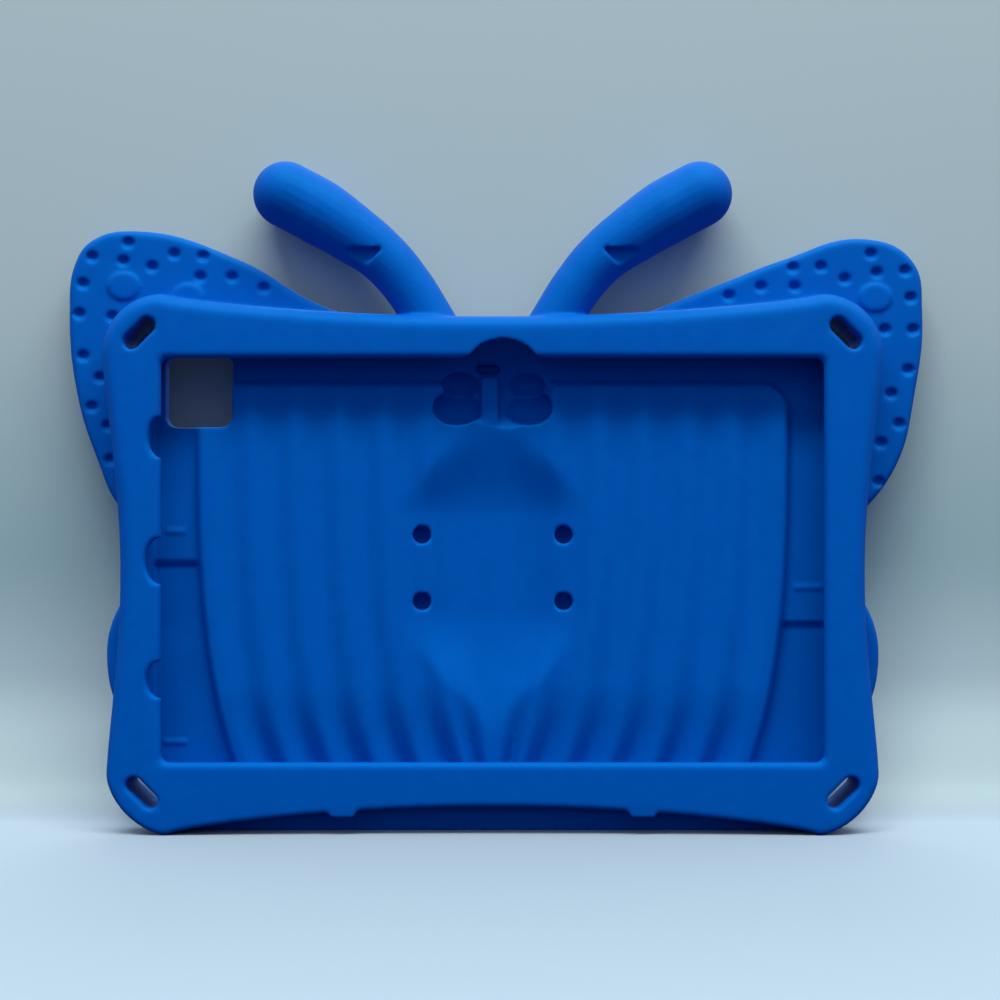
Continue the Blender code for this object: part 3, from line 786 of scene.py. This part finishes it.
def makeFoamMaterial():
    material = bpy.data.materials.new("blueFoam")
    material.use_nodes = True
    tree, links = material.node_tree, material.node_tree.links
    shader = tree.nodes["Principled BSDF"]
    shader.inputs["Specular IOR Level"].default_value = foam["specular"]
    shader.inputs["Specular Tint"].default_value = foam["glossTint"]
    place = addNode(tree, "TexCoord", {})

    # Tone
    swell = addNode(tree, "TexNoise", {"Scale": foam["swellScale"], "Detail": foam["swellDetail"]})
    tone = addNode(tree, "ValToRGB", {})
    stops = tone.color_ramp.elements
    for stop, position, colour in zip(stops, foam["toneSpan"], (foam["deep"], foam["colour"])):
        stop.position = position
        stop.color = colour
    links.new(place.outputs["Object"], swell.inputs["Vector"])
    links.new(swell.outputs["Fac"], tone.inputs["Fac"])
    links.new(tone.outputs["Color"], shader.inputs["Base Color"])

    # Gloss and grain
    grain = addNode(tree, "TexNoise", {"Scale": foam["grainScale"], "Detail": foam["grainDetail"]})
    low, high = foam["roughness"]
    shine = addNode(tree, "MapRange", {"To Min": low, "To Max": high})
    bump = addNode(tree, "Bump", {"Strength": foam["bumpStrength"], "Distance": foam["bumpDepth"]})
    links.new(place.outputs["Object"], grain.inputs["Vector"])
    links.new(grain.outputs["Fac"], shine.inputs["Value"])
    links.new(shine.outputs["Result"], shader.inputs["Roughness"])
    links.new(grain.outputs["Fac"], bump.inputs["Height"])
    links.new(bump.outputs["Normal"], shader.inputs["Normal"])
    return material


case = makeMoulding()
case.data.materials.clear()
case.data.materials.append(makeFoamMaterial())
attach(case, "root")
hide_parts("foam_case")
print("moulding finished")


# Floor and the paper behind the case

setting = {
    "floorColour": (0.347, 0.444, 0.490, 1), "floorBounce": (0.02, 0.025, 0.07, 1),
    "paperPaintedShading": (  # height, and the colour there, painted with light and shade
        (0.001, (0.347, 0.444, 0.490, 1)), (0.012, (0.48, 0.625, 0.60, 1)),
        (0.038, (0.62, 0.795, 0.74, 1)), (0.100, (0.368, 0.545, 0.510, 1)),
        (0.200, (0.485, 0.615, 0.565, 1)),
    ),
    "paperSpan": 0.25, "roughness": 0.8, "bounces": 1.5,
    "reach": 3.0, "strip": 0.002, "lift": 0.0003, "rise": 2,
    "foldY": 0.0060, "foldSize": (0.020, 0.045), "foldSteps": 20, "lean": 4.2,  # lean in degrees
}


def plainMaterial(name, colour):
    material = bpy.data.materials.new(name)
    material.use_nodes = True
    shader = material.node_tree.nodes["Principled BSDF"]
    shader.inputs["Base Color"].default_value = colour
    shader.inputs["Roughness"].default_value = setting["roughness"]
    return material


def paleToCamera(material):
    # The floor is pale where the camera sees it, and throws little light back up
    tree, links = material.node_tree, material.node_tree.links
    path = addNode(tree, "LightPath", {})
    mix = addMix(tree, {"A": setting["floorBounce"], "B": setting["floorColour"]})
    links.new(path.outputs["Is Camera Ray"], mix.inputs["Factor"])
    links.new(mix.outputs["Result"], tree.nodes["Principled BSDF"].inputs["Base Color"])


def shadeByHeight(material):
    # Painted light and shade on the paper: its colour is brightest low down at the fold, darker at
    # middle height and brighter again higher up, standing in for uneven light
    tree, links = material.node_tree, material.node_tree.links
    place = addNode(tree, "TexCoord", {})
    parts = addNode(tree, "SeparateXYZ", {})
    height = addNode(tree, "MapRange", {"From Max": setting["paperSpan"]})
    ramp = addNode(tree, "ValToRGB", {})
    ramp.color_ramp.interpolation = "EASE"
    stops = ramp.color_ramp.elements
    while len(stops) < len(setting["paperPaintedShading"]):
        stops.new(0.5)
    for stop, (z, colour) in zip(stops, setting["paperPaintedShading"]):
        stop.position = z / setting["paperSpan"]
        stop.color = colour
    links.new(place.outputs["Object"], parts.inputs["Vector"])
    links.new(parts.outputs["Z"], height.inputs["Value"])
    links.new(height.outputs["Result"], ramp.inputs["Fac"])
    links.new(ramp.outputs["Color"], tree.nodes["Principled BSDF"].inputs["Base Color"])


def seenFromFront(material):
    # The paper is solid from its front to the camera and to light that has bounced, and else clear
    tree, links = material.node_tree, material.node_tree.links
    shader, output = tree.nodes["Principled BSDF"], tree.nodes["Material Output"]
    path = addNode(tree, "LightPath", {})
    side = addNode(tree, "NewGeometry", {})
    clear = addNode(tree, "BsdfTransparent", {})
    bounced = addNode(tree, "Math", {1: setting["bounces"]})
    bounced.operation = "GREATER_THAN"
    solid = addNode(tree, "Math", {})
    solid.operation = "MAXIMUM"
    front = addNode(tree, "Math", {})
    front.operation = "SUBTRACT"
    front.use_clamp = True
    mix = addNode(tree, "MixShader", {})
    links.new(path.outputs["Ray Depth"], bounced.inputs[0])
    links.new(path.outputs["Is Camera Ray"], solid.inputs[0])
    links.new(bounced.outputs["Value"], solid.inputs[1])
    links.new(solid.outputs["Value"], front.inputs[0])
    links.new(side.outputs["Backfacing"], front.inputs[1])
    links.new(front.outputs["Value"], mix.inputs[0])
    links.new(clear.outputs["BSDF"], mix.inputs[1])
    links.new(shader.outputs["BSDF"], mix.inputs[2])
    links.new(mix.outputs["Shader"], output.inputs["Surface"])


def makeFloor():
    deselectAll()
    bpy.ops.mesh.primitive_plane_add(size=2 * setting["reach"])
    floor = settle(named("floor"))
    material = plainMaterial("paleFloor", setting["floorColour"])
    paleToCamera(material)
    floor.data.materials.append(material)
    return floor


def makePaper():
    # A thin strip on the floor, whose far edge is curled up and then pulled high
    deselectAll()
    reach, foldY = setting["reach"], setting["foldY"]
    bpy.ops.mesh.primitive_plane_add(size=1, location=(0, foldY - 0.5, 0), scale=(2 * reach, 1, 1))
    paper = settle(named("paper"))
    for vert in paper.data.vertices:
        y = foldY - setting["strip"] if vert.co.y < foldY - 0.5 else foldY
        vert.co = (reach * math.copysign(1, vert.co.x), y, setting["lift"])
    editWith(paper, "VERT", lambda co: co.y > foldY - 0.5 * setting["strip"])
    (wide, tall), steps = setting["foldSize"], setting["foldSteps"]
    lean = math.radians(setting["lean"])
    sweep = math.pi - math.atan(wide / (tall * math.tan(lean)))
    for step in range(steps):
        start, end = sweep * step / steps, sweep * (step + 1) / steps
        ahead = wide * (math.sin(end) - math.sin(start))
        up = tall * (math.cos(start) - math.cos(end))
        bpy.ops.mesh.extrude_region_move(TRANSFORM_OT_translate={"value": (0, ahead, up)})
    rise = (0, -setting["rise"] * math.sin(lean), setting["rise"] * math.cos(lean))
    bpy.ops.mesh.extrude_region_move(TRANSFORM_OT_translate={"value": rise})
    leaveEdit()
    makeActive(paper)
    bpy.ops.object.shade_smooth()
    material = plainMaterial("palePaper", setting["floorColour"])
    shadeByHeight(material)
    seenFromFront(material)
    paper.data.materials.append(material)
    return paper


floor = makeFloor()
paper = makePaper()
print("floor and paper made")


# Light and camera

lamps = {
    "key": {"place": (0.12, -0.68, 1.55), "size": (1.7, 0.26), "power": 28.0},
    "rear": {"place": (0.0, 1.2, 1.25), "size": (1.0, 1.0), "power": 8.0},
    "aim": (0, 0, 0.12), "domeSpan": (0.0, 0.85),
    "horizonColour": (0.04, 0.07, 0.42, 1), "overheadColour": (0.88, 0.97, 1.045, 1),
    "seenColour": (0.80, 0.88, 0.95, 1),
}


def makeLamp(name):
    facts = lamps[name]
    deselectAll()
    bpy.ops.object.light_add(type="AREA", location=facts["place"])
    lamp = bpy.context.object
    lamp.name = name
    lamp.data.shape = "RECTANGLE"
    lamp.data.size, lamp.data.size_y = facts["size"]
    lamp.data.energy = facts["power"]
    ahead = Vector(lamps["aim"]) - Vector(facts["place"])
    lamp.rotation_euler = ahead.to_track_quat("-Z", "Y").to_euler()
    return lamp


def makeRoom():
    # Dim and bluish round the horizon, bright overhead, and plain pale where the camera meets it
    world = bpy.data.worlds.new("room")
    bpy.context.scene.world = world
    world.use_nodes = True
    tree, links = world.node_tree, world.node_tree.links
    place = addNode(tree, "TexCoord", {})
    parts = addNode(tree, "SeparateXYZ", {})
    low, high = lamps["domeSpan"]
    dome = addNode(tree, "MapRange", {"From Min": low, "From Max": high})
    light = addMix(tree, {"A": lamps["horizonColour"], "B": lamps["overheadColour"]})
    rays = addNode(tree, "LightPath", {})
    seen = addMix(tree, {"B": lamps["seenColour"]})
    links.new(place.outputs["Generated"], parts.inputs["Vector"])
    links.new(parts.outputs["Z"], dome.inputs["Value"])
    links.new(dome.outputs["Result"], light.inputs["Factor"])
    links.new(light.outputs["Result"], seen.inputs["A"])
    links.new(rays.outputs["Is Camera Ray"], seen.inputs["Factor"])
    links.new(seen.outputs["Result"], tree.nodes["Background"].inputs["Color"])


makeLamp("key")
makeLamp("rear").visible_glossy = False
makeRoom()

view = {
    "target": (0.0026, -0.013, 0.1166), "distance": 0.6, "lens": 62.25, "sensor": 36,
    "clip": (0.01, 20),
}


def makeCamera():
    x, y, z = view["target"]
    deselectAll()
    bpy.ops.object.camera_add(
        location=(x, y - view["distance"], z), rotation=(math.radians(90), 0, 0)
    )
    camera = bpy.context.object
    camera.name = "photoCamera"
    camera.data.lens = view["lens"]
    camera.data.sensor_width = view["sensor"]
    camera.data.clip_start, camera.data.clip_end = view["clip"]
    bpy.context.scene.camera = camera


makeCamera()
bpy.context.scene.view_settings.view_transform = "Standard"
print("light and camera set")
